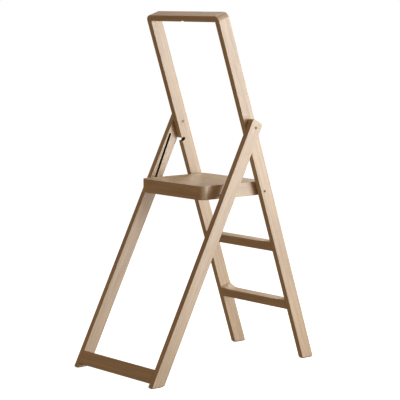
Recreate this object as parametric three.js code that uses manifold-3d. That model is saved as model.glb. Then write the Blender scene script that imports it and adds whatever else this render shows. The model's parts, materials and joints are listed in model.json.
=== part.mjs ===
// A wooden folding step ladder: two treads, a platform with a rim, and a hand rail.
// Millimetres. X is across the ladder, the climber faces +Y, Z is up and the floor is Z = 0.
// "Right" is the climber's right, +X. The ladder is drawn open, standing on its four feet.
import * as THREE from 'three';
import { mergeVertices } from 'three/addons/utils/BufferGeometryUtils.js';
import Module from 'manifold-3d';

// ---- Driving dimensions ----------------------------------------------------------------

// Every frame member is cut from the same board.
const BOARD_THICKNESS = 21;
const BOARD_DEPTH = 46.6;
// Gap left in every glued or clamped joint, so that no two pieces touch.
const SEAM = 0.3;

const OUTER_WIDTH = 425;
const LEG_TO_STILE_GAP = 3.7;
const STILE_LEAN = THREE.MathUtils.degToRad(18.3);
const LEG_LEAN = THREE.MathUtils.degToRad(27.05);
const PIVOT_HEIGHT = 813;

// Distances along a stile or a leg are measured from the main pivot, upwards.
const HAND_RAIL_TOP = 393.4;
const HAND_RAIL_CORNER_RADIUS = 20;
const HANG_SCALLOP_WIDTH = 19;
const HANG_SCALLOP_DEPTH = 3.6;
const LEG_TOP = 23;
const LEG_TOP_RADIUS = 6;

// Treads: level stepping surfaces, scooped out of a bar that is square to the stiles.
const TREAD_NAMES = ['lower_tread', 'upper_tread'];
const TREAD_SURFACE_HEIGHTS = [208, 416];
const TREAD_BAR_HEIGHT = 34.2;
const SCOOP_DEPTH_AT_BACK_EDGE = 1.6;
const SCOOP_RUN_OUT = 41.6;
const SCOOP_RUN_OUT_RADIUS = 59;

// Foot rail between the support legs.
const FOOT_RAIL_TOP = -861.1;
const FOOT_RAIL_BOTTOM = -906.6;

// Platform, measured from its pivot.
const PLATFORM_PIVOT_ALONG = -225.8;
const PLATFORM_PIVOT_ACROSS = 9;
const PLATFORM_TOP_HEIGHT = 628;
const PLATFORM_WIDTH = 322;
const PLATFORM_FRONT = 254.7;
const PLATFORM_REAR = -29;
const PLATFORM_FRONT_RADIUS = 25;
const PLATFORM_REAR_RADIUS = 6;
const PANEL_THICKNESS = 14;
const PANEL_INSET = 11;

// Guide pins of the platform, the notch in the stile that takes them, and the leg's groove.
const GUIDE_PIN_FORWARD = 167.2;
const GUIDE_PIN_DROP = 4.2;
const GUIDE_PIN_RADIUS = 4;
const GUIDE_PIN_EMBED = 12;
const NOTCH_ALONG = -58.9;
const NOTCH_HEIGHT = 12;
const NOTCH_END_ACROSS = 8.7;
const GROOVE_WIDTH = 8.5;
const GROOVE_DEPTH = 9;
const GROOVE_TOP = [12.8, -57];
const GROOVE_BEND = [3.9, -222];

// Hardware.
const PIVOT_SLEEVE_RADIUS = 4;
const PIVOT_SLEEVE_HEAD_RADIUS = 4.6;
const PIVOT_SLEEVE_END_INSET = 9.5;
const PIVOT_SCREW_RADIUS = 2.6;
const PIVOT_SCREW_HEAD_RADIUS = 5;
const PIVOT_SCREW_LENGTH = 26;
const PIVOT_WASHER_RADIUS = 9;
const PLATFORM_SCREW_RADIUS = 3;
const PLATFORM_SCREW_HEAD_RADIUS = 3.8;
const PLATFORM_SCREW_LENGTH = 38;
const PLATFORM_SPACER_RADIUS = 8;
const INSERT_RADIUS = 5;
const INSERT_LENGTH = 13;
const HEAD_THICKNESS = 1.2;
const HEX_SOCKET_RADIUS = 2.3;
const HEX_SOCKET_DEPTH = 0.8;

// Joinery.
const DOWEL_RADIUS = 4;
const DOWEL_HALF_LENGTH = 13;
const DOWEL_SPREAD = 12;
const TREAD_DOWEL_HEIGHT = 10;
const FOOT_RAIL_DOWEL_SPREAD = 12;
const MITRE_DOWEL_RADIUS = 3;
const MITRE_DOWEL_HALF_LENGTH = 8.5;

// Foot pads.
const PAD_THICKNESS = 2;
const PAD_INSET = 2.5;
const PAD_CORNER_RADIUS = 3;

const ROUND_SEGMENTS = 24;
const DOWEL_SEGMENTS = 12;
const ARC_STEP = THREE.MathUtils.degToRad(7.5);

// ---- Derived dimensions ----------------------------------------------------------------

const HALF_DEPTH = BOARD_DEPTH / 2;
const LEG_OUTER = OUTER_WIDTH / 2;
const LEG_INNER = LEG_OUTER - BOARD_THICKNESS;
const STILE_OUTER = LEG_INNER - LEG_TO_STILE_GAP;
const STILE_INNER = STILE_OUTER - BOARD_THICKNESS;
const PLATFORM_HALF_WIDTH = PLATFORM_WIDTH / 2;
const WOOD_BOTTOM = PAD_THICKNESS + SEAM;

// Where a board's edge meets a level plane: distance along the board from the main pivot.
// Across is positive towards +Y; lean is positive when the board's top leans towards +Y.
function alongAtHeight(height, across, lean) {
  return (height - PIVOT_HEIGHT + across * Math.sin(lean)) / Math.cos(lean);
}

function depthAtHeight(height, across, lean) {
  return alongAtHeight(height, across, lean) * Math.sin(lean) + across * Math.cos(lean);
}

// The footprint is centred on the origin.
const BOARD_EDGES = [-HALF_DEPTH, HALF_DEPTH];
const STILE_FOOT_SPAN = BOARD_EDGES.map((across) => depthAtHeight(WOOD_BOTTOM, across, STILE_LEAN));
const LEG_FOOT_SPAN = BOARD_EDGES.map((across) => depthAtHeight(WOOD_BOTTOM, across, -LEG_LEAN));
const PIVOT_Y = -(STILE_FOOT_SPAN[0] + LEG_FOOT_SPAN[1]) / 2;

// ---- Materials -------------------------------------------------------------------------

const beech = { color: 0xc9a980, roughness: 0.55, metalness: 0 };
const dowelWood = { color: 0xbd9a70, roughness: 0.7, metalness: 0 };
const steel = { color: 0x6d6b69, roughness: 0.4, metalness: 0.9 };
const nylon = { color: 0x2b2623, roughness: 0.5, metalness: 0 };
const padRubber = { color: 0x241c17, roughness: 0.8, metalness: 0 };

// ---- Solids ----------------------------------------------------------------------------

const wasm = await Module();
wasm.setup();

function toSolid(geometry) {
  const bare = geometry.clone();
  bare.deleteAttribute('normal');
  bare.deleteAttribute('uv');
  const merged = mergeVertices(bare, 1e-4);
  return new wasm.Manifold(new wasm.Mesh({
    numProp: 3,
    vertProperties: new Float32Array(merged.attributes.position.array),
    triVerts: new Uint32Array(merged.index.array),
  }));
}

function toGeometry(solid) {
  const { vertProperties, triVerts } = solid.getMesh();
  const geometry = new THREE.BufferGeometry();
  geometry.setAttribute('position', new THREE.BufferAttribute(vertProperties, 3));
  geometry.setIndex(new THREE.BufferAttribute(triVerts, 1));
  geometry.computeVertexNormals();
  return geometry;
}

// body is a geometry, cutters are geometries in the same frame.
function cut(body, cutters) {
  let solid = toSolid(body);
  for (const cutter of cutters) {
    solid = solid.subtract(toSolid(cutter));
  }
  return toGeometry(solid);
}

function join(geometries) {
  let solid = toSolid(geometries[0]);
  for (const geometry of geometries.slice(1)) {
    solid = solid.add(toSolid(geometry));
  }
  return toGeometry(solid);
}

const X_AXIS = new THREE.Vector3(1, 0, 0);
const Y_AXIS = new THREE.Vector3(0, 1, 0);
const Z_AXIS = new THREE.Vector3(0, 0, 1);
// A profile drawn in (y, z), pushed out along X.
const PUSHED_ALONG_X = new THREE.Matrix4().makeBasis(Y_AXIS, Z_AXIS, X_AXIS);
// A profile drawn in (x, z), pushed out along -Y.
const PUSHED_ALONG_MINUS_Y = new THREE.Matrix4().makeBasis(X_AXIS, Z_AXIS, Y_AXIS.clone().negate());

function prism(points, from, to, basis) {
  const low = Math.min(from, to);
  const depth = Math.abs(to - from);
  const outline = new THREE.Shape(points);
  const geometry = new THREE.ExtrudeGeometry(outline, { depth, bevelEnabled: false });
  geometry.translate(0, 0, low);
  if (basis) {
    geometry.applyMatrix4(basis);
  }
  return geometry;
}

function box(xFrom, xTo, yFrom, yTo, zFrom, zTo) {
  const width = Math.abs(xTo - xFrom);
  const depth = Math.abs(yTo - yFrom);
  const height = Math.abs(zTo - zFrom);
  const geometry = new THREE.BoxGeometry(width, depth, height);
  return geometry.translate((xFrom + xTo) / 2, (yFrom + yTo) / 2, (zFrom + zTo) / 2);
}

// A rod parallel to X through (y, z).
function rodAlongX(radius, xFrom, xTo, y, z, segments = ROUND_SEGMENTS) {
  const geometry = new THREE.CylinderGeometry(radius, radius, Math.abs(xTo - xFrom), segments);
  geometry.rotateZ(Math.PI / 2);
  return geometry.translate((xFrom + xTo) / 2, y, z);
}

// A dowel, or the bore for one.
function dowel(radius, xFrom, xTo, y, z) {
  return rodAlongX(radius, xFrom, xTo, y, z, DOWEL_SEGMENTS);
}

function point(x, y) {
  return new THREE.Vector2(x, y);
}

// Points on an arc, both ends included, in steps of at most ARC_STEP.
function arc(centreX, centreY, radius, fromAngle, toAngle) {
  const steps = Math.ceil(Math.abs(toAngle - fromAngle) / ARC_STEP);
  const points = [];
  for (let i = 0; i <= steps; i += 1) {
    const angle = fromAngle + ((toAngle - fromAngle) * i) / steps;
    points.push(point(centreX + radius * Math.cos(angle), centreY + radius * Math.sin(angle)));
  }
  return points;
}

function mirrored(points, side) {
  return points.map((p) => point(side * p.x, p.y));
}

// ---- Frames ----------------------------------------------------------------------------

// Inside the two frames, Z runs up along the boards and Y across their depth, from the main pivot.
const ladder = new THREE.Group();
const mainFrame = new THREE.Group();
mainFrame.position.set(0, PIVOT_Y, PIVOT_HEIGHT);
mainFrame.rotation.x = -STILE_LEAN;
const supportFrame = new THREE.Group();
supportFrame.position.set(0, PIVOT_Y, PIVOT_HEIGHT);
supportFrame.rotation.x = LEG_LEAN;
const platform = new THREE.Group();
ladder.add(mainFrame, supportFrame, platform);
ladder.updateMatrixWorld(true);

// The platform pivot's place in the ladder. The platform lies level, with its pivot at its origin.
const platformPivot = new THREE.Vector3(0, PLATFORM_PIVOT_ACROSS, PLATFORM_PIVOT_ALONG);
platformPivot.applyMatrix4(mainFrame.matrixWorld);
platform.position.copy(platformPivot);
ladder.updateMatrixWorld(true);

function fromLadderInto(group, geometry) {
  return geometry.applyMatrix4(group.matrixWorld.clone().invert());
}

function addPiece(group, name, geometry, finish) {
  const mesh = new THREE.Mesh(geometry, new THREE.MeshStandardMaterial(finish));
  mesh.name = name;
  group.add(mesh);
}

const SIDES = [['right', 1], ['left', -1]];

// ---- Main frame ------------------------------------------------------------------------

// The mitre faces stand back by half a seam on each side of the corner's diagonal.
const mitreAngle = Math.asin(SEAM / 2 / HAND_RAIL_CORNER_RADIUS);
const mitreShift = SEAM * Math.SQRT1_2;
const handRailBottom = HAND_RAIL_TOP - BOARD_THICKNESS;
const cornerX = STILE_OUTER - HAND_RAIL_CORNER_RADIUS;
const cornerZ = HAND_RAIL_TOP - HAND_RAIL_CORNER_RADIUS;

// Everything below a level plane, as a cutter in a frame's own axes.
function belowHeight(group, height) {
  return fromLadderInto(group, box(-OUTER_WIDTH, OUTER_WIDTH, -1000, 1000, height - 200, height));
}

function treadBar(surfaceHeight) {
  const top = alongAtHeight(surfaceHeight, HALF_DEPTH, STILE_LEAN) + SCOOP_DEPTH_AT_BACK_EDGE;
  return { top, bottom: top - TREAD_BAR_HEIGHT };
}

// Centres (across, along) of the dowels that hold the treads.
const treadDowelPlaces = TREAD_SURFACE_HEIGHTS.map((height) => {
  const along = treadBar(height).bottom + TREAD_DOWEL_HEIGHT;
  return [[-DOWEL_SPREAD, along], [DOWEL_SPREAD, along]];
});

// A rod across the mitre, square to the mitre's face.
function mitreRod(side, radius, halfLength, across) {
  const geometry = new THREE.CylinderGeometry(radius, radius, 2 * halfLength, DOWEL_SEGMENTS);
  geometry.rotateZ(side * Math.PI / 4);
  geometry.applyMatrix4(new THREE.Matrix4().makeRotationX(Math.PI / 2));
  const middle = BOARD_THICKNESS / 2;
  return geometry.translate(side * (STILE_INNER + middle), across, handRailBottom + middle);
}

function mitreBores(side) {
  const radius = MITRE_DOWEL_RADIUS + SEAM;
  const halfLength = MITRE_DOWEL_HALF_LENGTH + SEAM;
  return [-DOWEL_SPREAD, DOWEL_SPREAD].map((y) => mitreRod(side, radius, halfLength, y));
}

function pinNotch(side) {
  const roundCentre = NOTCH_END_ACROSS + NOTCH_HEIGHT / 2;
  const half = NOTCH_HEIGHT / 2;
  const mouth = HALF_DEPTH + 1;
  const profile = [
    point(mouth, NOTCH_ALONG - half),
    point(mouth, NOTCH_ALONG + half),
    ...arc(roundCentre, NOTCH_ALONG, half, Math.PI / 2, 1.5 * Math.PI),
  ];
  return prism(profile, side * (STILE_INNER - 1), side * (STILE_OUTER + 1), PUSHED_ALONG_X);
}

function stile(side) {
  const bottom = alongAtHeight(0, -HALF_DEPTH, STILE_LEAN);
  const profile = [
    point(STILE_INNER, bottom),
    point(STILE_OUTER, bottom),
    ...arc(cornerX, cornerZ, HAND_RAIL_CORNER_RADIUS, 0, Math.PI / 4 - mitreAngle),
    point(STILE_INNER, handRailBottom - mitreShift),
  ];
  const blank = prism(mirrored(profile, side), -HALF_DEPTH, HALF_DEPTH, PUSHED_ALONG_MINUS_Y);
  const inside = side * (STILE_INNER - 1);
  const outside = side * (STILE_OUTER + 1);
  const dowelEnd = side * (STILE_INNER + DOWEL_HALF_LENGTH + SEAM);
  const dowelBores = treadDowelPlaces.flat().map(
    ([y, z]) => dowel(DOWEL_RADIUS + SEAM, inside, dowelEnd, y, z),
  );
  const platformScrewBore = rodAlongX(PLATFORM_SCREW_RADIUS + SEAM, inside, outside, 0, 0);
  platformScrewBore.translate(0, PLATFORM_PIVOT_ACROSS, PLATFORM_PIVOT_ALONG);
  return cut(blank, [
    belowHeight(mainFrame, WOOD_BOTTOM),
    pinNotch(side),
    rodAlongX(PIVOT_SLEEVE_RADIUS + SEAM, inside, outside, 0, 0),
    platformScrewBore,
    ...dowelBores,
    ...mitreBores(side),
  ]);
}

function handRail() {
  const half = [
    point(STILE_INNER - mitreShift, handRailBottom),
    ...arc(cornerX, cornerZ, HAND_RAIL_CORNER_RADIUS, Math.PI / 4 + mitreAngle, Math.PI / 2),
  ];
  // The shallow scallop in the underside lets the folded ladder hang on a hook.
  const scallopHalf = HANG_SCALLOP_WIDTH / 2;
  const scallopRadius = (scallopHalf ** 2 + HANG_SCALLOP_DEPTH ** 2) / (2 * HANG_SCALLOP_DEPTH);
  const scallopAngle = Math.asin(scallopHalf / scallopRadius);
  const scallop = arc(
    0,
    handRailBottom + HANG_SCALLOP_DEPTH - scallopRadius,
    scallopRadius,
    Math.PI / 2 + scallopAngle,
    Math.PI / 2 - scallopAngle,
  );
  const profile = [...scallop, ...half, ...mirrored(half, -1).reverse()];
  const blank = prism(profile, -HALF_DEPTH, HALF_DEPTH, PUSHED_ALONG_MINUS_Y);
  return cut(blank, [...mitreBores(1), ...mitreBores(-1)]);
}

// The space above a tread: level in the middle, curving up to the stiles at both ends.
function scoop(surfaceHeight) {
  const flatHalf = STILE_INNER - SCOOP_RUN_OUT;
  const centreZ = surfaceHeight + SCOOP_RUN_OUT_RADIUS;
  const end = THREE.MathUtils.degToRad(-30);
  const right = arc(flatHalf, centreZ, SCOOP_RUN_OUT_RADIUS, -Math.PI / 2, end);
  const roof = surfaceHeight + BOARD_DEPTH;
  const half = [...right, point(right[right.length - 1].x, roof)];
  const profile = [...half, ...mirrored(half, -1).reverse()];
  return fromLadderInto(mainFrame, prism(profile, -1000, 1000, PUSHED_ALONG_MINUS_Y));
}

function tread(index) {
  const { top, bottom } = treadBar(TREAD_SURFACE_HEIGHTS[index]);
  const end = STILE_INNER - SEAM;
  const blank = box(-end, end, -HALF_DEPTH, HALF_DEPTH, bottom, top);
  const bores = SIDES.flatMap(([, side]) => treadDowelPlaces[index].map(([y, z]) => {
    const inner = side * (STILE_INNER - DOWEL_HALF_LENGTH - SEAM);
    return dowel(DOWEL_RADIUS + SEAM, inner, side * (STILE_INNER + 1), y, z);
  }));
  return cut(blank, [scoop(TREAD_SURFACE_HEIGHTS[index]), ...bores]);
}

// ---- Support frame ---------------------------------------------------------------------

const footRailAcross = [HALF_DEPTH - BOARD_THICKNESS, HALF_DEPTH];
const footRailDowelPlaces = [-1, 1].map((sign) => [
  (footRailAcross[0] + footRailAcross[1]) / 2,
  (FOOT_RAIL_TOP + FOOT_RAIL_BOTTOM) / 2 + sign * FOOT_RAIL_DOWEL_SPREAD,
]);

// The groove follows the guide pin from the folded place down to where the pin rests when open.
function groove(side) {
  const rest = new THREE.Vector3(0, GUIDE_PIN_FORWARD, -GUIDE_PIN_DROP);
  rest.applyMatrix4(platform.matrixWorld);
  rest.applyMatrix4(supportFrame.matrixWorld.clone().invert());
  const route = [GROOVE_TOP, GROOVE_BEND, [rest.y, rest.z]];
  const radius = GROOVE_WIDTH / 2;
  const open = side * (LEG_INNER - 1);
  const floor = side * (LEG_INNER + GROOVE_DEPTH);
  const parts = route.map(([y, z]) => rodAlongX(radius, open, floor, y, z));
  for (let i = 1; i < route.length; i += 1) {
    const [fromY, fromZ] = route[i - 1];
    const [toY, toZ] = route[i];
    const length = Math.hypot(toY - fromY, toZ - fromZ);
    const straight = box(open, floor, -radius, radius, 0, length);
    straight.rotateX(Math.atan2(-(toY - fromY), toZ - fromZ));
    parts.push(straight.translate(0, fromY, fromZ));
  }
  return join(parts);
}

function leg(side) {
  const bottomOf = (across) => alongAtHeight(WOOD_BOTTOM, across, -LEG_LEAN);
  const cornerAcross = HALF_DEPTH - LEG_TOP_RADIUS;
  const cornerAlong = LEG_TOP - LEG_TOP_RADIUS;
  const profile = [
    point(-HALF_DEPTH, bottomOf(-HALF_DEPTH)),
    point(HALF_DEPTH, bottomOf(HALF_DEPTH)),
    ...arc(cornerAcross, cornerAlong, LEG_TOP_RADIUS, 0, Math.PI / 2),
    ...arc(-cornerAcross, cornerAlong, LEG_TOP_RADIUS, Math.PI / 2, Math.PI),
  ];
  const blank = prism(profile, side * LEG_INNER, side * LEG_OUTER, PUSHED_ALONG_X);
  const inside = side * (LEG_INNER - 1);
  const dowelEnd = side * (LEG_INNER + DOWEL_HALF_LENGTH + SEAM);
  const dowelBores = footRailDowelPlaces.map(
    ([y, z]) => dowel(DOWEL_RADIUS + SEAM, inside, dowelEnd, y, z),
  );
  return cut(blank, [
    groove(side),
    rodAlongX(PIVOT_SLEEVE_RADIUS + SEAM, inside, side * (LEG_OUTER + 1), 0, 0),
    ...dowelBores,
  ]);
}

function footRail() {
  const end = LEG_INNER - SEAM;
  const blank = box(-end, end, ...footRailAcross, FOOT_RAIL_BOTTOM, FOOT_RAIL_TOP);
  const bores = SIDES.flatMap(([, side]) => footRailDowelPlaces.map(([y, z]) => {
    const inner = side * (LEG_INNER - DOWEL_HALF_LENGTH - SEAM);
    return dowel(DOWEL_RADIUS + SEAM, inner, side * (LEG_INNER + 1), y, z);
  }));
  return cut(blank, bores);
}

// ---- Platform --------------------------------------------------------------------------

const platformTop = PLATFORM_TOP_HEIGHT - platformPivot.z;
const platformBottom = platformTop - BOARD_DEPTH;
const railInnerX = PLATFORM_HALF_WIDTH - BOARD_THICKNESS;
const railInnerFront = PLATFORM_FRONT - BOARD_THICKNESS;
const railInnerRear = PLATFORM_REAR + BOARD_THICKNESS;

// Half of a rounded corner of the rim, from the mitre to the straight of one rail.
function rimCorner(radius, frontOrRear, onEndRail) {
  const y = frontOrRear > 0 ? PLATFORM_FRONT - radius : PLATFORM_REAR + radius;
  const shift = Math.asin(SEAM / 2 / radius);
  const mitre = Math.PI / 4 + (onEndRail ? shift : -shift);
  const straight = onEndRail ? Math.PI / 2 : 0;
  const points = arc(PLATFORM_HALF_WIDTH - radius, 0, radius, mitre, straight);
  return points.map((p) => point(p.x, y + frontOrRear * p.y));
}

// The panel drops into a rebate around the rim. Clearance is the gap left around the panel.
function panelOutline(clearance) {
  const inset = PANEL_INSET - clearance;
  const front = PLATFORM_FRONT - inset;
  const rear = PLATFORM_REAR + inset;
  const x = PLATFORM_HALF_WIDTH - inset;
  const radius = PLATFORM_FRONT_RADIUS - inset;
  const right = [point(x, rear), ...arc(x - radius, front - radius, radius, 0, Math.PI / 2)];
  return [...right, ...mirrored(right, -1).reverse()];
}

function panelRoom() {
  return prism(panelOutline(SEAM), platformTop - PANEL_THICKNESS - SEAM, platformTop + 1);
}

function endRail(frontOrRear) {
  const radius = frontOrRear > 0 ? PLATFORM_FRONT_RADIUS : PLATFORM_REAR_RADIUS;
  const innerY = frontOrRear > 0 ? railInnerFront : railInnerRear;
  const half = [point(railInnerX - mitreShift, innerY), ...rimCorner(radius, frontOrRear, true)];
  const profile = [...half, ...mirrored(half, -1).reverse()];
  return cut(prism(profile, platformBottom, platformTop), [panelRoom()]);
}

function sideRail(side) {
  const profile = [
    point(railInnerX, railInnerRear + mitreShift),
    ...rimCorner(PLATFORM_REAR_RADIUS, -1, false),
    ...rimCorner(PLATFORM_FRONT_RADIUS, 1, false).reverse(),
    point(railInnerX, railInnerFront - mitreShift),
  ];
  const blank = prism(mirrored(profile, side), platformBottom, platformTop);
  const outside = side * (PLATFORM_HALF_WIDTH + 1);
  const insertEnd = side * (PLATFORM_HALF_WIDTH - INSERT_LENGTH - 2 * SEAM);
  const pinEnd = side * (PLATFORM_HALF_WIDTH - GUIDE_PIN_EMBED - SEAM);
  return cut(blank, [
    panelRoom(),
    rodAlongX(INSERT_RADIUS + SEAM, insertEnd, outside, 0, 0),
    rodAlongX(GUIDE_PIN_RADIUS + SEAM, pinEnd, outside, GUIDE_PIN_FORWARD, -GUIDE_PIN_DROP),
  ]);
}

function panel() {
  return prism(panelOutline(0), platformTop - PANEL_THICKNESS, platformTop);
}

// ---- Hardware --------------------------------------------------------------------------

function ring(radius, holeRadius, xFrom, xTo) {
  const low = Math.min(xFrom, xTo);
  const high = Math.max(xFrom, xTo);
  return cut(rodAlongX(radius, low, high, 0, 0), [rodAlongX(holeRadius, low - 1, high + 1, 0, 0)]);
}

// A cap-headed screw along X. Its head's flat underside is at faceX and its shank runs inwards.
// outwards is +1 when the head faces +X, and the hexagonal socket opens that way.
function screw(faceX, outwards, headRadius, shankRadius, shankLength) {
  const top = faceX + outwards * HEAD_THICKNESS;
  const head = rodAlongX(headRadius, faceX, top, 0, 0);
  const shankEnd = faceX - outwards * shankLength;
  const shank = rodAlongX(shankRadius, shankEnd, faceX + outwards * 0.5, 0, 0);
  const socketFloor = top - outwards * HEX_SOCKET_DEPTH;
  const socket = rodAlongX(HEX_SOCKET_RADIUS, socketFloor, top + outwards, 0, 0, 6);
  return cut(join([head, shank]), [socket]);
}

// The sleeve's head bears on the stile's inner face. Its barrel carries the leg and takes the screw.
function pivotSleeve(side) {
  const face = side * (STILE_INNER - SEAM);
  const barrelLength = Math.abs(side * (LEG_OUTER - PIVOT_SLEEVE_END_INSET) - face);
  const blank = screw(face, -side, PIVOT_SLEEVE_HEAD_RADIUS, PIVOT_SLEEVE_RADIUS, barrelLength);
  const boreFrom = side * (STILE_OUTER - BOARD_THICKNESS / 2);
  const bore = rodAlongX(PIVOT_SCREW_RADIUS + SEAM, boreFrom, side * LEG_OUTER, 0, 0);
  return cut(blank, [bore]);
}

function pivotScrew(side) {
  const face = side * (LEG_OUTER + SEAM);
  return screw(face, side, PIVOT_SCREW_HEAD_RADIUS, PIVOT_SCREW_RADIUS, PIVOT_SCREW_LENGTH);
}

function platformScrew(side) {
  const face = side * (STILE_OUTER + SEAM);
  return screw(face, side, PLATFORM_SCREW_HEAD_RADIUS, PLATFORM_SCREW_RADIUS, PLATFORM_SCREW_LENGTH);
}

function insert(side) {
  const outer = PLATFORM_HALF_WIDTH - SEAM;
  const inner = outer - INSERT_LENGTH;
  return ring(INSERT_RADIUS, PLATFORM_SCREW_RADIUS + SEAM, side * inner, side * outer);
}

function guidePin(side) {
  const inner = side * (PLATFORM_HALF_WIDTH - GUIDE_PIN_EMBED);
  const outer = side * (LEG_INNER - SEAM);
  return rodAlongX(GUIDE_PIN_RADIUS, inner, outer, GUIDE_PIN_FORWARD, -GUIDE_PIN_DROP);
}

// A thin pad under a board's level end. span is where the end lies along Y, from the main pivot.
function footPad(side, innerX, outerX, span) {
  const xFrom = side * (innerX + PAD_INSET);
  const xTo = side * (outerX - PAD_INSET);
  const x = [Math.min(xFrom, xTo), Math.max(xFrom, xTo)];
  const y = [PIVOT_Y + span[0] + PAD_INSET, PIVOT_Y + span[1] - PAD_INSET];
  const r = PAD_CORNER_RADIUS;
  const quarter = Math.PI / 2;
  const profile = [
    ...arc(x[1] - r, y[0] + r, r, -quarter, 0),
    ...arc(x[1] - r, y[1] - r, r, 0, quarter),
    ...arc(x[0] + r, y[1] - r, r, quarter, 2 * quarter),
    ...arc(x[0] + r, y[0] + r, r, 2 * quarter, 3 * quarter),
  ];
  return prism(profile, 0, PAD_THICKNESS);
}

// ---- Assembly --------------------------------------------------------------------------

addPiece(mainFrame, 'hand_rail', handRail(), beech);
TREAD_NAMES.forEach((name, index) => addPiece(mainFrame, name, tread(index), beech));
addPiece(supportFrame, 'foot_rail', footRail(), beech);
addPiece(platform, 'platform_panel', panel(), beech);
addPiece(platform, 'platform_front_rail', endRail(1), beech);
addPiece(platform, 'platform_rear_rail', endRail(-1), beech);

for (const [sideName, side] of SIDES) {
  addPiece(mainFrame, `${sideName}_stile`, stile(side), beech);
  addPiece(supportFrame, `${sideName}_support_leg`, leg(side), beech);
  addPiece(platform, `platform_${sideName}_rail`, sideRail(side), beech);

  TREAD_NAMES.forEach((name, index) => treadDowelPlaces[index].forEach(([y, z], i) => {
    const from = side * (STILE_INNER - DOWEL_HALF_LENGTH);
    const to = side * (STILE_INNER + DOWEL_HALF_LENGTH);
    const rod = dowel(DOWEL_RADIUS, from, to, y, z);
    addPiece(mainFrame, `${name}_dowel_${sideName}_${i + 1}`, rod, dowelWood);
  }));
  footRailDowelPlaces.forEach(([y, z], i) => {
    const from = side * (LEG_INNER - DOWEL_HALF_LENGTH);
    const to = side * (LEG_INNER + DOWEL_HALF_LENGTH);
    const rod = dowel(DOWEL_RADIUS, from, to, y, z);
    addPiece(supportFrame, `foot_rail_dowel_${sideName}_${i + 1}`, rod, dowelWood);
  });
  [-DOWEL_SPREAD, DOWEL_SPREAD].forEach((across, i) => {
    const rod = mitreRod(side, MITRE_DOWEL_RADIUS, MITRE_DOWEL_HALF_LENGTH, across);
    addPiece(mainFrame, `hand_rail_dowel_${sideName}_${i + 1}`, rod, dowelWood);
  });

  const washer = ring(
    PIVOT_WASHER_RADIUS,
    PIVOT_SLEEVE_RADIUS + SEAM,
    side * (STILE_OUTER + SEAM),
    side * (LEG_INNER - SEAM),
  );
  const spacer = ring(
    PLATFORM_SPACER_RADIUS,
    PLATFORM_SCREW_RADIUS + SEAM,
    side * (PLATFORM_HALF_WIDTH + SEAM),
    side * (STILE_INNER - SEAM),
  );
  addPiece(mainFrame, `pivot_sleeve_nut_${sideName}`, pivotSleeve(side), steel);
  addPiece(mainFrame, `pivot_screw_${sideName}`, pivotScrew(side), steel);
  addPiece(mainFrame, `pivot_washer_${sideName}`, washer, nylon);
  addPiece(platform, `platform_pivot_screw_${sideName}`, platformScrew(side), steel);
  addPiece(platform, `platform_insert_${sideName}`, insert(side), steel);
  addPiece(platform, `platform_spacer_${sideName}`, spacer, nylon);
  addPiece(platform, `guide_pin_${sideName}`, guidePin(side), steel);

  const stilePad = footPad(side, STILE_INNER, STILE_OUTER, STILE_FOOT_SPAN);
  const legPad = footPad(side, LEG_INNER, LEG_OUTER, LEG_FOOT_SPAN);
  addPiece(ladder, `stile_foot_pad_${sideName}`, stilePad, padRubber);
  addPiece(ladder, `leg_foot_pad_${sideName}`, legPad, padRubber);
}

export default ladder;
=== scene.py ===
# Looks of the wooden folding step ladder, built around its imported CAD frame.
# Metres. +X is the climber's right, the climber faces +Y, and +Z is up.
import json
import math

import bmesh
import bpy
import numpy as np
from mathutils import Matrix, Vector


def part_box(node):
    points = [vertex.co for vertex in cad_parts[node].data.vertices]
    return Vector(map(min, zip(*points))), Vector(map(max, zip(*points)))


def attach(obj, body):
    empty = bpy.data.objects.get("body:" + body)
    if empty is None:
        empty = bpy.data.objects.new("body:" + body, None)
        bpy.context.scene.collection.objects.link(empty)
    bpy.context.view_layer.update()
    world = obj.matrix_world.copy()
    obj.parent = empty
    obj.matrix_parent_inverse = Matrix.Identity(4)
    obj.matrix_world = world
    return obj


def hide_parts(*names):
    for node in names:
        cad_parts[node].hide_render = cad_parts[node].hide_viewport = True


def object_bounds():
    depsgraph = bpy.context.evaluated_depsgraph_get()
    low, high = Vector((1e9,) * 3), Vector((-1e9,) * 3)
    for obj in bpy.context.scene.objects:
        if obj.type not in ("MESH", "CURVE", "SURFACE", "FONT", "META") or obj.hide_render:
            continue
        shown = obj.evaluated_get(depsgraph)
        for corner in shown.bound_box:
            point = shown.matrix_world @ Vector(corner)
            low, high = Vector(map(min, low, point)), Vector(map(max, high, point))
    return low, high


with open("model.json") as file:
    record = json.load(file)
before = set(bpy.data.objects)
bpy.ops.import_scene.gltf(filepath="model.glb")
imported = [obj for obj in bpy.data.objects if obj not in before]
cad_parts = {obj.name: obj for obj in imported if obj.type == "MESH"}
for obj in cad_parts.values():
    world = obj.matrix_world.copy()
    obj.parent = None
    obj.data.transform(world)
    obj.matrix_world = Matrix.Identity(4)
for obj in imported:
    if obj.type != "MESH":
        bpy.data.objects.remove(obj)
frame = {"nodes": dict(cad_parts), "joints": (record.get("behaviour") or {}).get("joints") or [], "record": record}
cad_low, cad_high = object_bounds()

MM = 0.001
X_AXIS = Vector((1, 0, 0))
Y_AXIS = Vector((0, 1, 0))
Z_AXIS = Vector((0, 0, 1))
SIDES = {"right": 1, "left": -1}
BODIES = frame["record"]["behaviour"]["bodies"]
SLOT_OF = {entry["node"]: entry["material_slot"] for entry in frame["record"]["subparts"]}
BODY_OF = {node: body for body, nodes in BODIES.items() for node in nodes}

# ---- Wood working dimensions -------------------------------------------------------------

EDGE_ROUNDING = 1.6 * MM
EDGE_SEGMENTS = 3
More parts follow.
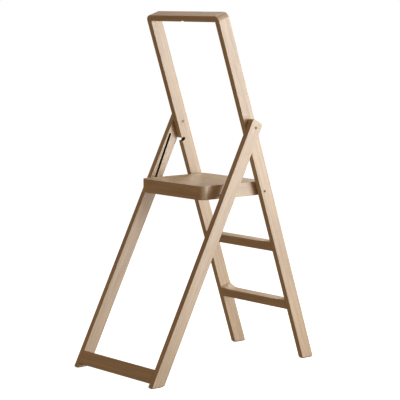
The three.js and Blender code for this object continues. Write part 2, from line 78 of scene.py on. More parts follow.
# Shares of EDGE_ROUNDING, for a routed slot or bore and for an edge that closes up to a glue line.
SLOT_SHARE = 0.3
SEAM_SHARE = 0.14
SHARP_ANGLE = math.radians(30)
SMOOTH_ANGLE = math.radians(36)
FLAT_ANGLE = math.radians(0.4)
WELD_DISTANCE = 0.01 * MM
# The CAD solids stand this far apart at a glued joint. The looks close it to a thin glue line.
CAD_SEAM = 0.3 * MM
GLUE_LINE = 0.06 * MM
# A mitre is closed from both sides, and a square end by itself.
MITRE_REACH = (CAD_SEAM - GLUE_LINE) / 2
SQUARE_REACH = CAD_SEAM - GLUE_LINE
# The least slope, as a cosine, of an edge that runs into a glued face.
MIN_RUN = 0.3
ON_PLANE = 0.05 * MM
# The cosine beyond which a face is taken to look straight along its board's length.
SQUARE_ON = 0.99
# A face that runs at 45 degrees this closely, and is this large, is glued to its neighbour there.
MITRE_SLOPE = math.sqrt(0.5)
MITRE_TOLERANCE = 0.01
MITRE_FACE_AREA = 1e-4
# Shading that leans across a mitre by less than this, as a cosine, is levelled there.
MITRE_SHADING_LEAN = 0.2
# How strongly a board's large flat faces pull the shading of its rounded edges level.
FLATNESS_WEIGHT = 60
# A face whose middle lies deeper in a board than this, and this far from the board's ends, is the
# wall of a groove, a notch or a bore.
# The wood is painted near-black on these walls, as painted shade.
INSIDE_DEPTH = 0.6 * MM
INSIDE_FROM_ENDS = 25 * MM
# Faces smaller than this are marked as rounded edge. The mark reaches the short faces at corners and
# bends, but not the long strips that run the length of a board, which are larger.
SHORT_STRIP_AREA = EDGE_ROUNDING * 20 * MM
# A face turned along its board by more than this cosine shows end grain.
END_GRAIN_FACING = 0.75
# Every board is sawn from its own place in the tree: so far out from the pith, in steps round it,
# and so far along the trunk from the last board.
PITH_DISTANCE = 90 * MM
PITH_STEP = 13 * MM
PITH_STEPS = 5
FIRST_TURN = 0.6
GOLDEN_ANGLE = 2.399963
TRUNK_STEP = 1.7


# ---- Node-building shorthand -------------------------------------------------------------


class Shader:
    """Builds one material's nodes, left to right."""

    def __init__(self, name):
        self.material = bpy.data.materials.new(name)
        self.material.use_nodes = True
        self.tree = self.material.node_tree
        self.surface = self.tree.nodes["Principled BSDF"]

    def node(self, kind, inputs=(), **settings):
        made = self.tree.nodes.new("ShaderNode" + kind)
        for key, value in settings.items():
            setattr(made, key, value)
        for key, value in dict(inputs).items():
            self.feed(made.inputs[key], value)
        return made

    def feed(self, socket, value):
        if isinstance(value, bpy.types.NodeSocket):
            self.tree.links.new(value, socket)
        else:
            socket.default_value = value

    def math(self, operation, first, second=0.0, third=0.0, clamp=False):
        inputs = {0: first, 1: second, 2: third}
        return self.node("Math", inputs, operation=operation, use_clamp=clamp).outputs[0]

    def attribute(self, name, output):
        return self.node("Attribute", attribute_name=name).outputs[output]

    def scaled(self, vector, scale):
        made = self.node("VectorMath", {0: vector, 1: scale}, operation="MULTIPLY")
        return made.outputs[0]

    def noise(self, vector, scale=1.0, detail=2.0, roughness=0.5):
        inputs = {"Vector": vector, "Scale": scale, "Detail": detail, "Roughness": roughness}
        return self.node("TexNoise", inputs).outputs["Fac"]

    def ramp(self, value, low, high, to_low=0.0, to_high=1.0):
        inputs = {"Value": value, "From Min": low, "From Max": high}
        inputs.update({"To Min": to_low, "To Max": to_high})
        return self.node("MapRange", inputs, interpolation_type="SMOOTHSTEP").outputs["Result"]

    def mix(self, share, first, second, blend="MIX"):
        made = self.node("Mix", data_type="RGBA", blend_type=blend, clamp_factor=True)
        self.feed(made.inputs["Factor"], share)
        self.feed(made.inputs[6], first)
        self.feed(made.inputs[7], second)
        return made.outputs[2]

    def bump(self, height, distance, strength=1.0):
        inputs = {"Height": height, "Distance": distance, "Strength": strength}
        return self.node("Bump", inputs).outputs["Normal"]

    def finish(self, **sockets):
        for name, value in sockets.items():
            self.feed(self.surface.inputs[name.replace("_", " ")], value)
        return self.material


def rgba(red, green, blue):
    return (red, green, blue, 1.0)


# ---- Materials ---------------------------------------------------------------------------

# Steamed beech under a clear satin lacquer: linear colours of its pale and dark growth.
PALE_WOOD = rgba(0.645, 0.495, 0.31)
DARK_WOOD = rgba(0.445, 0.312, 0.178)
FLECK_WOOD = rgba(0.30, 0.178, 0.088)
END_WOOD = rgba(0.34, 0.215, 0.115)
# Painted shade: near-black laid on the walls of grooves, notches and bores, where shade falls.
PAINTED_SHADE_WALL = rgba(0.015, 0.007, 0.005)
RING_SPACING = 2.4 * MM
RING_WANDER = 5 * MM
# How far each feature turns the pale growth dark.
RING_SHARE = 0.3
PATCH_SHARE = 0.36
FLECK_SHARE = 0.45
# How far the faces marked as rounded edge are rubbed pale.
EDGE_WEAR = 0.16
LACQUER_ROUGHNESS = 0.4
END_GRAIN_ROUGHNESS = 0.15
FIBRE_RELIEF = 0.12 * MM


def beech(name, tint_and_painted_light, wood_roughness, lacquer_weight):
    """Beech whose pattern follows the mesh's own "grain" attribute: x runs along the fibres."""
    s = Shader(name)
    grain = s.attribute("grain", "Vector")
    end = s.attribute("end_grain", "Fac")
    edge = s.attribute("rounded_edge", "Fac")
    wall = s.attribute("inner_wall", "Fac")

    across = s.scaled(grain, (0.0, 1.0, 1.0))
    from_pith = s.node("VectorMath", {0: across}, operation="LENGTH").outputs["Value"]
    wander = s.noise(s.scaled(grain, (2.2, 14.0, 14.0)), detail=2.0)
    bent = s.math("ADD", from_pith, s.math("MULTIPLY", wander, RING_WANDER))
    turns = s.math("MULTIPLY", bent, 2 * math.pi / RING_SPACING)
    rings = s.math("MULTIPLY_ADD", s.math("SINE", turns), 0.5, 0.5)
    late_wood = s.math("POWER", rings, 3.0)

    patches = s.noise(s.scaled(grain, (3.0, 30.0, 30.0)), detail=3.0)
    streaks = s.noise(s.scaled(grain, (5.0, 190.0, 190.0)), detail=3.0)
    fibres = s.noise(s.scaled(grain, (22.0, 700.0, 700.0)), detail=4.0, roughness=0.6)
    pores = s.noise(s.scaled(grain, (160.0, 1500.0, 900.0)), detail=1.0)
    flecks = s.ramp(pores, 0.66, 0.74)
    end_pores = s.ramp(s.noise(grain, scale=2200.0, detail=1.0), 0.55, 0.7)

    share = s.math("MULTIPLY", late_wood, RING_SHARE)
    share = s.math("ADD", share, s.ramp(patches, 0.32, 0.68, 0.0, PATCH_SHARE))
    share = s.math("ADD", share, s.ramp(streaks, 0.34, 0.66, -0.14, 0.3))
    share = s.math("ADD", share, s.ramp(fibres, 0.3, 0.7, -0.12, 0.22), clamp=True)
    side_colour = s.mix(share, PALE_WOOD, DARK_WOOD)
    side_colour = s.mix(s.math("MULTIPLY", flecks, FLECK_SHARE), side_colour, FLECK_WOOD)
    end_share = s.math("ADD", s.math("MULTIPLY", late_wood, 0.5), s.math("MULTIPLY", end_pores, 0.4))
    end_colour = s.mix(end_share, END_WOOD, FLECK_WOOD)
    colour = s.mix(end, side_colour, end_colour)
    colour = s.mix(s.math("MULTIPLY", edge, EDGE_WEAR), colour, PALE_WOOD)
    # A tint: the dowels' own tone, and for the platform painted light that lifts and cools its faces.
    colour = s.mix(1.0, colour, tint_and_painted_light, blend="MULTIPLY")
    # Painted shade: the walls of grooves, notches and bores turn near-black, a little uneven along the fibres.
    painted_shade_share = s.ramp(fibres, 0.3, 0.9, 0.98, 0.86)
    colour = s.mix(s.math("MULTIPLY", wall, painted_shade_share), colour, PAINTED_SHADE_WALL)

    relief = s.math("SUBTRACT", s.math("MULTIPLY", fibres, 0.6), s.math("MULTIPLY", flecks, 0.5))
    relief = s.math("SUBTRACT", relief, s.math("MULTIPLY", s.math("MULTIPLY", end, end_pores), 0.6))
    roughness = s.ramp(fibres, 0.25, 0.75, wood_roughness - 0.05, wood_roughness + 0.07)
    roughness = s.math("ADD", roughness, s.math("MULTIPLY", end, END_GRAIN_ROUGHNESS))
    return s.finish(
        Base_Color=colour,
        Roughness=roughness,
        IOR=1.5,
        Specular_IOR_Level=0.9,
        Coat_Weight=lacquer_weight,
        Coat_Roughness=LACQUER_ROUGHNESS,
        Normal=s.bump(relief, FIBRE_RELIEF, 0.5),
    )


def plated_steel(name, colour, roughness):
    """Plated steel, a little cloudy, with faint turning marks."""
    s = Shader(name)
    place = s.node("TexCoord").outputs["Object"]
    cloud = s.noise(place, scale=420.0, detail=4.0)
    turning = s.noise(s.scaled(place, (9000.0, 300.0, 300.0)), detail=2.0)
    darker = rgba(*(0.55 * c for c in colour[:3]))
    mottled = s.mix(s.ramp(cloud, 0.35, 0.7), colour, darker)
    polish = s.ramp(cloud, 0.3, 0.75, roughness - 0.08, roughness + 0.14)
    return s.finish(
        Base_Color=mottled,
        Metallic=1.0,
        Roughness=polish,
        Normal=s.bump(turning, 0.02 * MM, 0.35),
    )


def moulded_nylon(name, colour):
    """Black nylon with the fine spark texture of its mould."""
    s = Shader(name)
    place = s.node("TexCoord").outputs["Object"]
    cloud = s.noise(place, scale=300.0, detail=3.0)
    spark = s.noise(place, scale=5200.0, detail=1.0)
    greyer = rgba(*(1.7 * c + 0.01 for c in colour[:3]))
    return s.finish(
        Base_Color=s.mix(s.ramp(cloud, 0.3, 0.8), colour, greyer),
        Roughness=s.ramp(spark, 0.3, 0.7, 0.42, 0.58),
        Normal=s.bump(spark, 0.03 * MM, 0.4),
    )


def pad_rubber(name, colour):
    """Dark rubber, dusted grey where it meets the floor."""
    s = Shader(name)
    place = s.node("TexCoord").outputs["Object"]
    crumb = s.noise(place, scale=2600.0, detail=3.0)
    dust = s.noise(place, scale=160.0, detail=4.0)
    dusty = rgba(*(3.0 * c + 0.01 for c in colour[:3]))
    height = s.node("SeparateXYZ", {0: place}).outputs["Z"]
    low = s.ramp(height, 0.0, 1.6 * MM, 0.55, 0.1)
    return s.finish(
        Base_Color=s.mix(s.math("MULTIPLY", s.ramp(dust, 0.35, 0.7), low), colour, dusty),
        Roughness=s.ramp(crumb, 0.3, 0.7, 0.72, 0.9),
        Normal=s.bump(crumb, 0.08 * MM, 0.6),
    )


MATERIALS = {
    "frame_beech": beech("frame_beech", rgba(1.0, 1.0, 1.0), 0.46, 1.0),
    # The platform's lighter, cooler tint is painted light for its top and front.
    "platform_beech": beech("platform_beech", rgba(1.04, 1.055, 1.09), 0.48, 1.0),
    "dowel_wood": beech("dowel_beech", rgba(1.04, 1.0, 0.94), 0.7, 0.0),
    "steel": plated_steel("zinc_plated_steel", rgba(0.13, 0.127, 0.122), 0.36),
    "nylon": moulded_nylon("black_nylon", rgba(0.028, 0.025, 0.023)),
    "pad_rubber": pad_rubber("dark_rubber", rgba(0.014, 0.009, 0.007)),
}
PLATFORM_SCREW_STEEL = plated_steel("blued_steel", rgba(0.062, 0.072, 0.095), 0.32)


# ---- Mesh helpers ------------------------------------------------------------------------


def adopt(name, mesh, *nodes):
    """Makes the mesh a piece that stands for these CAD nodes, on their body and in their slot."""
    piece = bpy.data.objects.new(name, mesh)
    bpy.context.scene.collection.objects.link(piece)
    slot = SLOT_OF[nodes[0]]
    if not mesh.materials:
        mesh.materials.append(MATERIALS[slot])
    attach(piece, BODY_OF[nodes[0]])
    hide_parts(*nodes)
    return piece


def merged_copy(node):
    """The CAD node's mesh with shared vertices and whole flat faces."""
    bm = bmesh.new()
    bm.from_mesh(frame["nodes"][node].data)
    bmesh.ops.remove_doubles(bm, verts=bm.verts, dist=WELD_DISTANCE)
    bmesh.ops.dissolve_limit(bm, angle_limit=FLAT_ANGLE, verts=bm.verts, edges=bm.edges)
    bmesh.ops.recalc_face_normals(bm, faces=bm.faces)
    return bm


def longest_edge_direction(node):
    bm = merged_copy(node)
    longest = max(bm.edges, key=lambda e: e.calc_length())
    direction = (longest.verts[1].co - longest.verts[0].co).normalized()
    bm.free()
    return direction if direction.z >= 0 else -direction


def sharp_loops(bm):
    """The sharp edges in connected groups, the largest group first."""
    sharp = {e for e in bm.edges if len(e.link_faces) == 2 and e.calc_face_angle() > SHARP_ANGLE}
    groups = []
    while sharp:
        waiting = [sharp.pop()]
        group = []
        while waiting:
            edge = waiting.pop()
            group.append(edge)
            for vert in edge.verts:
                near = [e for e in vert.link_edges if e in sharp]
                sharp.difference_update(near)
                waiting.extend(near)
        groups.append(group)
    return sorted(groups, key=lambda g: -sum(e.calc_length() for e in g))


def edge_middle(edge):
    return (edge.verts[0].co + edge.verts[1].co) / 2


def is_mitre(face):
    """True for a face that is glued to its neighbour at 45 degrees."""
    at_slope = abs(abs(face.normal.x) - MITRE_SLOPE) < MITRE_TOLERANCE
    return at_slope and face.calc_area() > MITRE_FACE_AREA


def touches_mitre(edge):
    return any(is_mitre(face) for face in edge.link_faces)


def on_end_plane(edge, half_length):
    """True for an edge of a rail's end, where it is glued against a stile or a leg."""
    return all(abs(abs(v.co.x) - half_length) < ON_PLANE for v in edge.verts)


def lengthened(bm, is_glued, reach):
    """The same board, its glued end faces moved out by reach, along the edges that run into them."""
    moves = {}
    for face in (f for f in bm.faces if is_glued(f)):
        for vert in face.verts:
            runs = [(vert.co - e.other_vert(vert).co).normalized() for e in vert.link_edges]
            run = max(runs, key=face.normal.dot)
            moves[vert] = run * reach / max(run.dot(face.normal), MIN_RUN)
    for vert, move in moves.items():
        vert.co += move
    bm.normal_update()
    return bm


def with_modifier(mesh, kind, **settings):
    """The mesh as this one modifier leaves it. The mesh given is used up."""
    holder = bpy.data.objects.new("holder", mesh)
    bpy.context.scene.collection.objects.link(holder)
    modifier = holder.modifiers.new("step", kind)
    for name, value in settings.items():
        setattr(modifier, name, value)
    graph = bpy.context.evaluated_depsgraph_get()
    made = bpy.data.meshes.new_from_object(holder.evaluated_get(graph), depsgraph=graph)
    bpy.data.objects.remove(holder)
    bpy.data.meshes.remove(mesh)
    return made


def level_normals_at_mitres(mesh, mitres):
    """Lets a rounded corner's shading run on across its mitre, as if both boards were one."""
    normals = [corner.vector.copy() for corner in mesh.corner_normals]
    for point, across in mitres:
        on_mitre = [abs((v.co - point).dot(across)) < ON_PLANE for v in mesh.vertices]
        for loop in mesh.loops:
            lean = normals[loop.index].dot(across)
            if on_mitre[loop.vertex_index] and abs(lean) < MITRE_SHADING_LEAN:
                normals[loop.index] = (normals[loop.index] - lean * across).normalized()
    mesh.normals_split_custom_set(normals)


def rounded(bm, share_of):
    """A finished mesh, its sharp edges rounded by share_of(edge) times EDGE_ROUNDING."""
    mitres = [(f.calc_center_median(), f.normal.copy()) for f in bm.faces if is_mitre(f)]
    layer = bm.edges.layers.float.new("bevel_weight_edge")
    groups = sharp_loops(bm)
    for edge in groups[0]:
        edge[layer] = share_of(edge)
    for group in groups[1:]:
        for edge in group:
            edge[layer] = min(share_of(edge), SLOT_SHARE)
    base = bpy.data.meshes.new("blank")
    bm.to_mesh(base)
    bm.free()
    bevelled = with_modifier(
        base,
        "BEVEL",
        limit_method="WEIGHT",
        width=EDGE_ROUNDING,
        segments=EDGE_SEGMENTS,
        use_clamp_overlap=False,
        miter_outer="MITER_ARC",
        material=-1,
    )
    bevelled.shade_smooth()
    bevelled.set_sharp_from_angle(angle=SMOOTH_ANGLE)
    mesh = with_modifier(bevelled, "WEIGHTED_NORMAL", keep_sharp=True, weight=FLATNESS_WEIGHT)
    if mitres:
        level_normals_at_mitres(mesh, mitres)
    return mesh


def board_places(mesh, along, wide, middle):
    """The mesh's points in the board's own axes, measured from its middle."""
    points = np.empty(len(mesh.vertices) * 3)
    mesh.vertices.foreach_get("co", points)
    return (points.reshape(-1, 3) - np.array(middle)) @ np.array([along, wide, along.cross(wide)]).T


def store_inner_walls(mesh, local):
    """Marks the walls of grooves, notches and bores, where the wood is painted near-black as shade. local holds
    the points in the board's axes.
    """
    centres = np.array([local[list(p.vertices)].mean(0) for p in mesh.polygons])
    depth = np.minimum(centres - local.min(0), local.max(0) - centres)
    inside = (depth > [INSIDE_FROM_ENDS, INSIDE_DEPTH, INSIDE_DEPTH]).all(1)
    wall = mesh.attributes.new("inner_wall", "FLOAT", "FACE")
    wall.data.foreach_set("value", inside.astype(np.float32))


def store_grain(mesh, along, wide, middle, number):
    """Writes where each point lies in its board, so that the wood's figure follows the fibres."""
    local = board_places(mesh, along, wide, middle)
    pith_distance = PITH_DISTANCE + PITH_STEP * (number % PITH_STEPS)
    turn = FIRST_TURN + GOLDEN_ANGLE * number
    local += [TRUNK_STEP * number, pith_distance * math.cos(turn), pith_distance * math.sin(turn)]
    grain = mesh.attributes.new("grain", "FLOAT_VECTOR", "POINT")
    grain.data.foreach_set("vector", local.astype(np.float32).ravel())

    normals = np.empty(len(mesh.polygons) * 3)
    mesh.polygons.foreach_get("normal", normals)
    facing = np.abs(normals.reshape(-1, 3) @ np.array(along))
    end = mesh.attributes.new("end_grain", "FLOAT", "FACE")
    end.data.foreach_set("value", (facing > END_GRAIN_FACING).astype(np.float32))
    areas = np.array([p.area for p in mesh.polygons])
    on_strip = (areas < SHORT_STRIP_AREA) & (facing < END_GRAIN_FACING)
    strip = mesh.attributes.new("rounded_edge", "FLOAT", "FACE")
    strip.data.foreach_set("value", on_strip.astype(np.float32))


def middle_of(node):
    low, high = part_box(node)
    return (low + high) / 2


# ---- Wooden pieces -----------------------------------------------------------------------

STILE_ALONG = longest_edge_direction("right_stile")
LEG_ALONG = longest_edge_direction("right_support_leg")
board_numbers = iter(range(100))


def board(node, along, wide, share_of, glued=None, grooved=False):
    """glued: a test for the board's glued end faces, and how far they move out to close the joint."""
    blank = merged_copy(node)
    if glued:
        blank = lengthened(blank, *glued)
    mesh = rounded(blank, share_of)
    store_grain(mesh, along, wide, middle_of(node), next(board_numbers))
    if grooved:
        store_inner_walls(mesh, board_places(mesh, along, wide, middle_of(node)))
    return adopt(node + "_beech", mesh, node)


def joint(name):
    return next(j for j in frame["joints"] if j["name"] == name)


def folded_pin_place(side):
    """Where the platform's guide pin lies when the ladder is folded: in the stile's notch."""
    fold = joint("platform_fold")
    pivot = Vector(fold["pos_m"])
    turn = Matrix.Rotation(math.radians(fold["range_deg"][1]), 3, Vector(fold["axis"]))
    low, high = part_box(f"guide_pin_{side}")
    centre = (low + high) / 2
    return pivot + turn @ (centre - pivot)


def make_stile(side):
    notch = folded_pin_place(side)
    notch_reach = 14 * MM

    def share_of(edge):
        if touches_mitre(edge):
            return 0.0
        offset = edge_middle(edge) - notch
        offset.x = 0
        whole_length = edge.calc_length() > 4 * notch_reach
        return SLOT_SHARE if offset.length < notch_reach and not whole_length else 1.0

    wide = STILE_ALONG.cross(X_AXIS)
    glued = (is_mitre, MITRE_REACH)
    board(f"{side}_stile", STILE_ALONG, wide, share_of, glued, grooved=True)


def make_leg(side):
    wide = LEG_ALONG.cross(X_AXIS)
    board(f"{side}_support_leg", LEG_ALONG, wide, lambda edge: 1.0, grooved=True)


def make_hand_rail():
    scallop_half = 12 * MM

    def share_of(edge):
        if touches_mitre(edge):
            return 0.0
        in_scallop = abs(edge_middle(edge).x) < scallop_half and edge.calc_length() < 2 * scallop_half
        return SLOT_SHARE if in_scallop else 1.0

    board("hand_rail", X_AXIS, STILE_ALONG.cross(X_AXIS), share_of, (is_mitre, MITRE_REACH))


def make_cross_rail(node, upright):
    """A tread or the foot rail: its ends are glued, and only its long edges are rounded."""
    half_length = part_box(node)[1].x + SQUARE_REACH

    def share_of(edge):
        return 0.0 if on_end_plane(edge, half_length) else 1.0

    def is_end(face):
        far_out = abs(face.calc_center_median().x) > half_length - 1 * MM
        return abs(face.normal.x) > SQUARE_ON and far_out

    board(node, X_AXIS, upright.cross(X_AXIS), share_of, (is_end, SQUARE_REACH))


def make_platform_rails():
    low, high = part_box("platform_panel")
    middle = (low + high) / 2
    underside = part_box("platform_front_rail")[0].z

    def share_of(edge):
        if touches_mitre(edge):
            return 0.0
        # The rim's inner edges close up to the panel, except those on the underside.
        place = edge_middle(edge)
        outwards = place - middle
        outwards.z = 0
        faces_in = any(f.normal.dot(outwards) < -0.2 * outwards.length for f in edge.link_faces)
        return SEAM_SHARE if faces_in and place.z > underside + 1 * MM else 1.0

    for name, along in (("front", X_AXIS), ("rear", X_AXIS), ("right", Y_AXIS), ("left", Y_AXIS)):
        board(f"platform_{name}_rail", along, Z_AXIS, share_of, (is_mitre, MITRE_REACH))


def make_panel():
    """The panel, widened until it nearly fills the rebate in the rim."""
    low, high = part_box("platform_panel")
    middle = (low + high) / 2
    half = (high - low) / 2
    blank = merged_copy("platform_panel")
    for vert in blank.verts:
        offset = vert.co - middle
        vert.co.x += SQUARE_REACH * offset.x / half.x
        vert.co.y += SQUARE_REACH * offset.y / half.y
    mesh = rounded(blank, lambda edge: SEAM_SHARE)
    store_grain(mesh, X_AXIS, Y_AXIS, middle, next(board_numbers))
    adopt("platform_panel_beech", mesh, "platform_panel")


# ---- Turned pieces -----------------------------------------------------------------------

ROUND_POINTS = 48
TURNED_SMOOTH_ANGLE = math.radians(40)


class Turned:
    """A piece built up from rings round one axis. Heights t run along the axis from the CAD
    node's middle, and radii are measured from the axis."""

    def __init__(self, node, axis=None):
        source = frame["nodes"][node].data
        self.node = node
        points = np.unique(np.round([v.co for v in source.vertices], 7), axis=0)
        if axis is None:
            spread = np.cov((points - points.mean(0)).T)
            axis = Vector(np.linalg.eigh(spread)[1][:, -1])
        self.axis = axis.normalized()
        side_axis = self.axis.cross(Y_AXIS if abs(self.axis.y) < 0.9 else Z_AXIS).normalized()
        self.basis = np.array([self.axis, side_axis, self.axis.cross(side_axis)])
        low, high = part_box(node)
        self.centre = np.array((low + high) / 2)
        local = (points - self.centre) @ self.basis.T
        self.t = local[:, 0]
        self.r = np.hypot(local[:, 1], local[:, 2])
        self.start = self.t.min()
        self.end = self.t.max()
        self.radius = self.r.max()
        self.rings = []

    def radius_near(self, t, reach=0.2 * MM):
        return self.r[np.abs(self.t - t) < reach].max()

    def reach_of(self, radius, tolerance=0.1 * MM):
        """The stretch of the axis along which the CAD node is this thick."""
        there = self.t[self.r > radius - tolerance]
        return there.min(), there.max()

    def ring(self, t, radius):
        """radius is a number, or a function of the angle."""
        angles = np.arange(ROUND_POINTS) * 2 * math.pi / ROUND_POINTS
        radii = radius(angles) if callable(radius) else np.full(ROUND_POINTS, float(radius))
        heights = t(angles) if callable(t) else np.full(ROUND_POINTS, float(t))
        self.rings.append(np.stack([heights, radii * np.cos(angles), radii * np.sin(angles)], 1))

    def rounding(self, t, radius, size, turn_in, direction, steps=4):
        """Rings round a quarter circle at the rim (t, radius). turn_in: from wall to cap."""
        for i in range(steps + 1):
            a = (i if turn_in else steps - i) / steps * math.pi / 2
            self.ring(t - direction * size * (1 - math.sin(a)), radius - size * (1 - math.cos(a)))

    def thread(self, start, end, crest, depth, pitch, rows_per_turn=8):
        """A single-start helical thread that fades out at both ends."""
        rows = max(3, int(abs(end - start) / pitch * rows_per_turn))
        for i in range(rows + 1):
            t = start + (end - start) * i / rows
            fade = min(1.0, min(i, rows - i) / rows_per_turn)
            phase = t / pitch

            def ridge(angles, phase=phase, fade=fade):
                wave = np.abs(((phase - angles / (2 * math.pi)) % 1.0) * 2 - 1)
                return crest - depth * fade * wave

            self.ring(t, ridge)

    def mesh(self, closed_loop=False):
        bm = bmesh.new()
        rows = []
        for ring in self.rings:
            places = ring @ self.basis + self.centre
            rows.append([bm.verts.new(p) for p in places])
        pairs = list(zip(rows, rows[1:]))
        if closed_loop:
            pairs.append((rows[-1], rows[0]))
        for lower, upper in pairs:
            for i in range(ROUND_POINTS):
                j = (i + 1) % ROUND_POINTS
                bm.faces.new((lower[i], lower[j], upper[j], upper[i]))
        if not closed_loop:
            for row in (rows[0], rows[-1]):
                middle = bm.verts.new(sum((v.co for v in row), Vector()) / ROUND_POINTS)
                for i in range(ROUND_POINTS):
                    bm.faces.new((row[i], row[(i + 1) % ROUND_POINTS], middle))
        bmesh.ops.recalc_face_normals(bm, faces=bm.faces)
        made = bpy.data.meshes.new(self.node)
        bm.to_mesh(made)
        bm.free()
        made.shade_smooth()
        made.set_sharp_from_angle(angle=TURNED_SMOOTH_ANGLE)
        return made


def hexagon(across_corners):
    """Radius of a hexagon as a function of the angle."""
    apothem = across_corners * math.cos(math.pi / 6)
    sixth = math.pi / 3
    return lambda angles: apothem / np.cos((angles % sixth) - sixth / 2)


def cap_head(turned, top, under, direction):
    """A low domed head with a hexagon socket, from the socket's floor out to the head's underside.
    direction is +1 when the head faces along the axis. All its sizes are shares of the head's own."""
    radius = turned.radius
    depth = abs(top - under)
    socket = 0.46 * radius
    crown = 0.3 * depth
    turned.ring(top - direction * 0.72 * depth, lambda a: 0.4 * hexagon(socket)(a))
    turned.ring(top - direction * 0.66 * depth, hexagon(socket * 0.97))
    turned.ring(top - direction * 0.05 * depth, hexagon(socket))
    turned.ring(top, hexagon(socket * 1.1))
    turned.ring(top - direction * 0.02 * depth, radius * 0.72)
    turned.rounding(top - direction * crown * 0.25, radius, crown, False, direction)
    turned.ring(under + direction * 0.1 * depth, radius)
    turned.ring(under, radius * 0.97)


def make_screw(node, outwards, pitch, material=None):
    """A cap-headed machine screw. outwards is +1 when its head faces +X."""
    piece = Turned(node, X_AXIS)
    inner, outer = piece.reach_of(piece.radius)
    top, under = (outer, inner) if outwards > 0 else (inner, outer)
    tip = piece.start if outwards > 0 else piece.end
    shank = piece.radius_near(tip)
    chamfer = 0.22 * shank
    cap_head(piece, top, under, outwards)
    piece.ring(under, shank)
    neck = under - outwards * 0.2 * abs(under - tip)
    piece.ring(neck, shank)
    piece.thread(neck, tip + outwards * 1.2 * chamfer, shank, 0.16 * shank, pitch)
    piece.ring(tip + outwards * chamfer, shank * 0.9)
    piece.ring(tip, shank - chamfer)
    mesh = piece.mesh()
    if material:
        mesh.materials.append(material)
    adopt(node + "_turned", mesh, node)


def make_sleeve_nut(node, outwards, pitch):
    """A headed sleeve with a threaded bore in its far end. outwards is +1 when its head faces +X."""
    piece = Turned(node, X_AXIS)
    inner, outer = piece.reach_of(piece.radius)
    top, under = (outer, inner) if outwards > 0 else (inner, outer)
    tip = piece.start if outwards > 0 else piece.end
    barrel = piece.radius_near(tip)
    bore = 0.7 * barrel
    bore_floor = tip + outwards * 0.6 * abs(under - tip)
    bevel = 0.12 * barrel
    cap_head(piece, top, under, outwards)
    piece.ring(under, barrel)
    piece.ring(tip + outwards * bevel, barrel)
    piece.ring(tip, barrel - bevel)
    piece.ring(tip, bore + bevel)
    piece.thread(tip + outwards * bevel, bore_floor, bore, 0.1 * bore, pitch)
    piece.ring(bore_floor + outwards * 0.4 * bore, bore * 0.1)
    adopt(node + "_turned", piece.mesh(), node)


def make_collar(node, thread_pitch=None):
    """A washer, spacer or insert: a ring with softened rims, and a coarse outer thread if asked."""
    piece = Turned(node, X_AXIS)
    bore = piece.r.min()
    soft = 0.12 * (piece.radius - bore)
    start, end = piece.start, piece.end
    piece.rounding(start, piece.radius, soft, False, -1)
    if thread_pitch:
        depth = 0.14 * piece.radius
        piece.thread(start + soft, end - soft, piece.radius, depth, thread_pitch)
    piece.rounding(end, piece.radius, soft, True, 1)
    piece.ring(end, bore + soft)
    piece.ring(end - soft, bore)
    piece.ring(start + soft, bore)
    piece.ring(start, bore + soft)
    adopt(node + "_turned", piece.mesh(closed_loop=True), node)


def make_pin(node):
    """A plain steel pin with rounded ends."""
    piece = Turned(node, X_AXIS)
    radius = piece.radius
    round_off = 0.28 * radius
    piece.ring(piece.start, 0.4 * radius)
    piece.rounding(piece.start, radius, round_off, False, -1)
    piece.ring(0.0, radius)
    piece.rounding(piece.end, radius, round_off, True, 1)
    piece.ring(piece.end, 0.4 * radius)
    adopt(node + "_turned", piece.mesh(), node)


DOWEL_FLUTES = 12
FLUTE_DEPTH_SHARE = 0.09


def make_dowel(node):
    """A fluted beech dowel with chamfered ends."""
    piece = Turned(node)
    radius = piece.radius
    chamfer = 0.25 * radius

    def fluted(angles):
        notch = np.clip(np.cos(angles * DOWEL_FLUTES), 0, 1) ** 2
        return radius * (1 - FLUTE_DEPTH_SHARE * notch)

    piece.ring(piece.start, radius - chamfer)
    piece.ring(piece.start + chamfer, fluted)
    for share in (0.25, 0.5, 0.75):
        piece.ring(piece.start + share * (piece.end - piece.start), fluted)
    piece.ring(piece.end - chamfer, fluted)
    piece.ring(piece.end, radius - chamfer)
    mesh = piece.mesh()
    wide = piece.axis.cross(Y_AXIS).normalized()
    store_grain(mesh, piece.axis, wide, Vector(piece.centre), next(board_numbers))
    adopt(node + "_fluted", mesh, node)


def make_foot_pad(node):
    """A thin rubber pad with softened rims."""
    mesh = rounded(merged_copy(node), lambda edge: SLOT_SHARE)
    adopt(node + "_rubber", mesh, node)


# ---- Build -------------------------------------------------------------------------------

M5_PITCH = 0.8 * MM
INSERT_PITCH = 2.2 * MM

make_hand_rail()
for side in SIDES:
    make_stile(side)
    make_leg(side)
make_cross_rail("lower_tread", STILE_ALONG)
make_cross_rail("upper_tread", STILE_ALONG)
make_cross_rail("foot_rail", LEG_ALONG)
make_platform_rails()
make_panel()

for side, sign in SIDES.items():
    make_screw(f"pivot_screw_{side}", sign, M5_PITCH)
    make_sleeve_nut(f"pivot_sleeve_nut_{side}", -sign, M5_PITCH)
    make_screw(f"platform_pivot_screw_{side}", sign, M5_PITCH, PLATFORM_SCREW_STEEL)
    make_collar(f"platform_insert_{side}", INSERT_PITCH)
    make_collar(f"pivot_washer_{side}")
    make_collar(f"platform_spacer_{side}")
    make_pin(f"guide_pin_{side}")
    make_foot_pad(f"stile_foot_pad_{side}")
    make_foot_pad(f"leg_foot_pad_{side}")
for node in sorted(BODY_OF):
    if "_dowel_" in node:
        make_dowel(node)


# ---- Stage, light and camera -------------------------------------------------------------

LADDER_MIDDLE = (cad_low + cad_high) / 2
FLOOR_HALF = 30.0
FLOOR_GLOW = 0.97
FLOOR_ALBEDO = 0.5
DOME_RADIUS = 28.0
KEY_WATTS = 13.5
ROOM_TINT = (1.0, 0.68, 0.43)
ROOM_STRENGTH = 0.24
CAMERA_PLACE = (-4.3000, 3.5886, 1.2494)
CAMERA_TILT = 82.976
CAMERA_TURN = -129.936
LENS_MM = 150.2
SENSOR_MM = 36.0


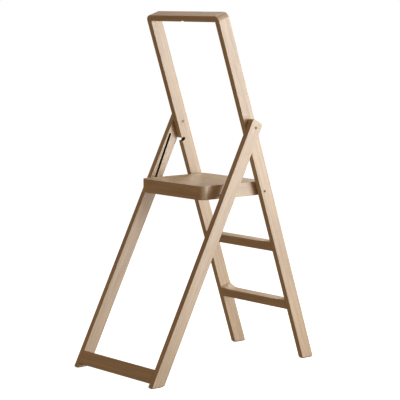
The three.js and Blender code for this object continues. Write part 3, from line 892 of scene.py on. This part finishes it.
def stage_material(name, glow, albedo):
    """Pale matt paint with a steady glow, so that shadows on it stay light."""
    made = bpy.data.materials.new(name)
    made.use_nodes = True
    surface = made.node_tree.nodes["Principled BSDF"]
    surface.inputs["Base Color"].default_value = rgba(albedo, albedo, albedo)
    surface.inputs["Roughness"].default_value = 0.9
    surface.inputs["Specular IOR Level"].default_value = 0.0
    surface.inputs["Emission Color"].default_value = rgba(1, 1, 1)
    surface.inputs["Emission Strength"].default_value = glow
    return made


def backdrop_only(obj):
    """Seen by the camera, but it throws no light back at the ladder."""
    obj.visible_diffuse = False
    obj.visible_glossy = False
    obj.visible_shadow = False


def make_stage():
    floor_mesh = bpy.data.meshes.new("floor")
    h = FLOOR_HALF
    floor_mesh.from_pydata([(-h, -h, 0), (h, -h, 0), (h, h, 0), (-h, h, 0)], [], [(0, 1, 2, 3)])
    floor = bpy.data.objects.new("floor", floor_mesh)
    floor_mesh.materials.append(stage_material("pale_floor", FLOOR_GLOW, FLOOR_ALBEDO))
    bm = bmesh.new()
    bmesh.ops.create_uvsphere(bm, u_segments=48, v_segments=24, radius=DOME_RADIUS)
    dome_mesh = bpy.data.meshes.new("backdrop")
    bm.to_mesh(dome_mesh)
    bm.free()
    dome = bpy.data.objects.new("backdrop", dome_mesh)
    dome_mesh.materials.append(stage_material("white_backdrop", 1.0, 0.0))
    for obj in (floor, dome):
        bpy.context.scene.collection.objects.link(obj)
        backdrop_only(obj)


def softbox(name, place, size, watts):
    """A square white lamp that faces the ladder's middle."""
    lamp = bpy.data.lights.new(name, "AREA")
    lamp.shape = "SQUARE"
    lamp.size = size
    lamp.energy = watts
    made = bpy.data.objects.new(name, lamp)
    made.location = place
    made.rotation_euler = (LADDER_MIDDLE - place).to_track_quat("-Z", "Y").to_euler()
    bpy.context.scene.collection.objects.link(made)
    return made


def around_ladder(azimuth, elevation, distance):
    """A place in degrees and metres from the ladder's middle. Azimuth 0 is +X and 90 is +Y."""
    turn = math.radians(azimuth)
    rise = math.radians(elevation)
    level = math.cos(rise)
    direction = Vector((math.cos(turn) * level, math.sin(turn) * level, math.sin(rise)))
    return LADDER_MIDDLE + direction * distance


def make_world(colour, strength):
    world = bpy.data.worlds.new("studio")
    world.use_nodes = True
    background = world.node_tree.nodes["Background"]
    background.inputs["Color"].default_value = rgba(*colour)
    background.inputs["Strength"].default_value = strength
    bpy.context.scene.world = world


def make_camera():
    data = bpy.data.cameras.new("camera")
    data.sensor_width = SENSOR_MM
    data.lens = LENS_MM
    data.clip_end = 200.0
    camera = bpy.data.objects.new("camera", data)
    camera.location = CAMERA_PLACE
    camera.rotation_euler = (math.radians(CAMERA_TILT), 0, math.radians(CAMERA_TURN))
    bpy.context.scene.collection.objects.link(camera)
    bpy.context.scene.camera = camera


def make_lights():
    """Four equal soft lamps make one large key on the ladder's left, and three fills stand behind."""
    for name, azimuth, elevation in (
        ("key_top", 220, 20),
        ("key_front", 205, 5),
        ("key_back", 220, 5),
        ("key_bottom", 212, -12),
    ):
        softbox(name, around_ladder(azimuth, elevation, 2.8), 1.0, KEY_WATTS)
    softbox("high_side", around_ladder(250, 50, 2.8), 1.3, 22)
    softbox("behind", around_ladder(300, 25, 3.2), 1.4, 14)
    softbox("high_behind", around_ladder(330, 60, 3.0), 1.4, 11)
    make_world(ROOM_TINT, ROOM_STRENGTH)


make_stage()
make_lights()
make_camera()
bpy.context.scene.view_settings.view_transform = "Standard"
